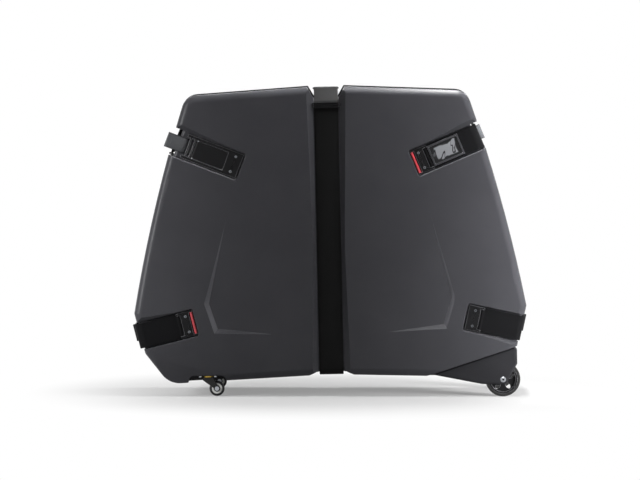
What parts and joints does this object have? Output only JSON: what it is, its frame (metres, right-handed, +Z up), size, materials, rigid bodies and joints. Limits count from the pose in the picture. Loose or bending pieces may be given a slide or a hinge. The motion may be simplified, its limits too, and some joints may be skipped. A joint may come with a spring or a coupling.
{
  "type": "bike travel case",
  "caption": "Hard clamshell travel case for a bicycle, with lever closures at its corners, a carrying strap, large wheels at one end and swivel castors at the other.",
  "frame": {"origin": "centre of the bounding box, on the floor", "axes": "+X along the case towards the large wheels, +Y from the front shell to the rear shell, +Z up"},
  "size_m": [1.261, 0.38, 0.9839],
  "materials": {
    "shell_plastic": "fine moulded grain",
    "rim_plastic": "satin",
    "seal_rubber": "matte",
    "liner_foam": "matte foam",
    "strap_webbing": "woven",
    "handle_rubber": "matte",
    "grey_webbing": "woven",
    "clear_plastic": "glossy, clear",
    "red_plastic": "glossy",
    "wheel_rubber": "matte",
    "castor_plastic": "satin",
    "housing_plastic": "fine moulded grain",
    "bright_steel": "zinc plated",
    "yellow_zinc": "yellow passivated",
    "black_steel": "satin black",
    "fitting_plastic": "smooth satin"
  },
  "bodies": {
    "rear_shell": {"handle_sleeve": "handle_rubber", "rear_anchor_base": "fitting_plastic", "rear_anchor_strap": "fitting_plastic", "rear_buckle_frame": "fitting_plastic", "rear_castor_bolts": "bright_steel", "rear_castor_plate": "black_steel", "rear_castor_race": "yellow_zinc", "rear_foam_liner": "liner_foam", "rear_hinge_pins": "bright_steel", "rear_lower_latch_base": "fitting_plastic", "rear_plate_screws": "bright_steel", "rear_rim": "rim_plastic", "rear_shell": "shell_plastic", "rear_strap": "strap_webbing", "rear_upper_latch_base": "fitting_plastic", "rear_webbing": "grey_webbing", "rear_wheel_axle": "bright_steel", "rear_wheel_housing": "housing_plastic", "rim_seal": "seal_rubber", "strap_keeper": "strap_webbing"},
    "front_shell": {"front_anchor_base": "fitting_plastic", "front_anchor_strap": "fitting_plastic", "front_buckle_frame": "fitting_plastic", "front_castor_bolts": "bright_steel", "front_castor_plate": "black_steel", "front_castor_race": "yellow_zinc", "front_foam_liner": "liner_foam", "front_hinge_pins": "bright_steel", "front_lower_latch_base": "fitting_plastic", "front_plate_screws": "bright_steel", "front_rim": "rim_plastic", "front_shell": "shell_plastic", "front_strap": "strap_webbing", "front_upper_latch_base": "fitting_plastic", "front_webbing": "grey_webbing", "front_wheel_axle": "bright_steel", "front_wheel_housing": "housing_plastic", "strap_adjuster": "fitting_plastic"},
    "front_lower_lever": {"front_lower_latch_lever": "fitting_plastic"},
    "front_lower_tab": {"front_lower_release_tab": "red_plastic"},
    "front_upper_lever": {"front_upper_latch_lever": "fitting_plastic", "card_holder": "fitting_plastic", "card_window": "clear_plastic"},
    "front_upper_tab": {"front_upper_release_tab": "red_plastic"},
    "front_buckle_cover": {"front_buckle_lever": "fitting_plastic"},
    "front_wheel": {"front_wheel_tyre": "wheel_rubber", "front_wheel_hub": "fitting_plastic"},
    "front_castor": {"front_castor_fork": "black_steel", "front_castor_axle": "bright_steel"},
    "front_castor_roller": {"front_castor_wheel": "castor_plastic"},
    "rear_lower_lever": {"rear_lower_latch_lever": "fitting_plastic"},
    "rear_lower_tab": {"rear_lower_release_tab": "red_plastic"},
    "rear_upper_lever": {"rear_upper_latch_lever": "fitting_plastic"},
    "rear_upper_tab": {"rear_upper_release_tab": "red_plastic"},
    "rear_buckle_cover": {"rear_buckle_lever": "fitting_plastic"},
    "rear_wheel": {"rear_wheel_tyre": "wheel_rubber", "rear_wheel_hub": "fitting_plastic"},
    "rear_castor": {"rear_castor_fork": "black_steel", "rear_castor_axle": "bright_steel"},
    "rear_castor_roller": {"rear_castor_wheel": "castor_plastic"}
  },
  "joints": [
    {"name": "front_shell_slide", "type": "slide", "parent": "rear_shell", "child": "front_shell", "axis": [0, -1, 0], "range_m": [0, 0.42]},
    {"name": "front_lower_lever_hinge", "type": "hinge", "parent": "front_shell", "child": "front_lower_lever", "pos_m": [-0.47459, -0.181, 0.22364], "axis": [-0.2487, 0, 0.9686], "range_deg": [0, 110]},
    {"name": "front_lower_tab_slide", "type": "slide", "parent": "front_shell", "child": "front_lower_tab", "axis": [-0.9686, 0, -0.2487], "range_m": [0, 0.004], "stiffness_N_per_m": 400},
    {"name": "front_upper_lever_hinge", "type": "hinge", "parent": "front_shell", "child": "front_upper_lever", "pos_m": [0.30747, -0.181, 0.75628], "axis": [0.3939, 0, -0.9191], "range_deg": [0, 110]},
    {"name": "front_upper_tab_slide", "type": "slide", "parent": "front_shell", "child": "front_upper_tab", "axis": [0.9191, 0, 0.3939], "range_m": [0, 0.004], "stiffness_N_per_m": 400},
    {"name": "front_buckle_hinge", "type": "hinge", "parent": "front_shell", "child": "front_buckle_cover", "pos_m": [-0.42727, -0.1815, 0.78024], "axis": [-0.3551, 0, -0.9348], "range_deg": [0, 80]},
    {"name": "front_wheel_spin", "type": "hinge", "parent": "front_shell", "child": "front_wheel", "pos_m": [0.545, -0.158, 0.055], "axis": [0, 1, 0], "continuous": true},
    {"name": "front_castor_swivel", "type": "hinge", "parent": "front_shell", "child": "front_castor", "pos_m": [-0.38829, -0.146, 0.05183], "axis": [-0.0209, 0, 0.9998], "continuous": true},
    {"name": "front_castor_spin", "type": "hinge", "parent": "front_castor", "child": "front_castor_roller", "pos_m": [-0.3597, -0.146, 0.024], "axis": [0, 1, 0], "continuous": true},
    {"name": "rear_lower_lever_hinge", "type": "hinge", "parent": "rear_shell", "child": "rear_lower_lever", "pos_m": [0.47456, 0.181, 0.24352], "axis": [0.2079, 0, 0.9781], "range_deg": [0, 110]},
    {"name": "rear_lower_tab_slide", "type": "slide", "parent": "rear_shell", "child": "rear_lower_tab", "axis": [0.9781, 0, -0.2079], "range_m": [0, 0.004], "stiffness_N_per_m": 400},
    {"name": "rear_upper_lever_hinge", "type": "hinge", "parent": "rear_shell", "child": "rear_upper_lever", "pos_m": [-0.32911, 0.181, 0.74295], "axis": [-0.3551, 0, -0.9348], "range_deg": [0, 110]},
    {"name": "rear_upper_tab_slide", "type": "slide", "parent": "rear_shell", "child": "rear_upper_tab", "axis": [-0.9348, 0, 0.3551], "range_m": [0, 0.004], "stiffness_N_per_m": 400},
    {"name": "rear_buckle_hinge", "type": "hinge", "parent": "rear_shell", "child": "rear_buckle_cover", "pos_m": [0.40398, 0.1815, 0.79765], "axis": [0.3939, 0, -0.9191], "range_deg": [0, 80]},
    {"name": "rear_wheel_spin", "type": "hinge", "parent": "rear_shell", "child": "rear_wheel", "pos_m": [0.545, 0.158, 0.055], "axis": [0, 1, 0], "continuous": true},
    {"name": "rear_castor_swivel", "type": "hinge", "parent": "rear_shell", "child": "rear_castor", "pos_m": [-0.38829, 0.146, 0.05183], "axis": [-0.0209, 0, 0.9998], "continuous": true},
    {"name": "rear_castor_spin", "type": "hinge", "parent": "rear_castor", "child": "rear_castor_roller", "pos_m": [-0.3597, 0.146, 0.024], "axis": [0, 1, 0], "continuous": true}
  ]
}
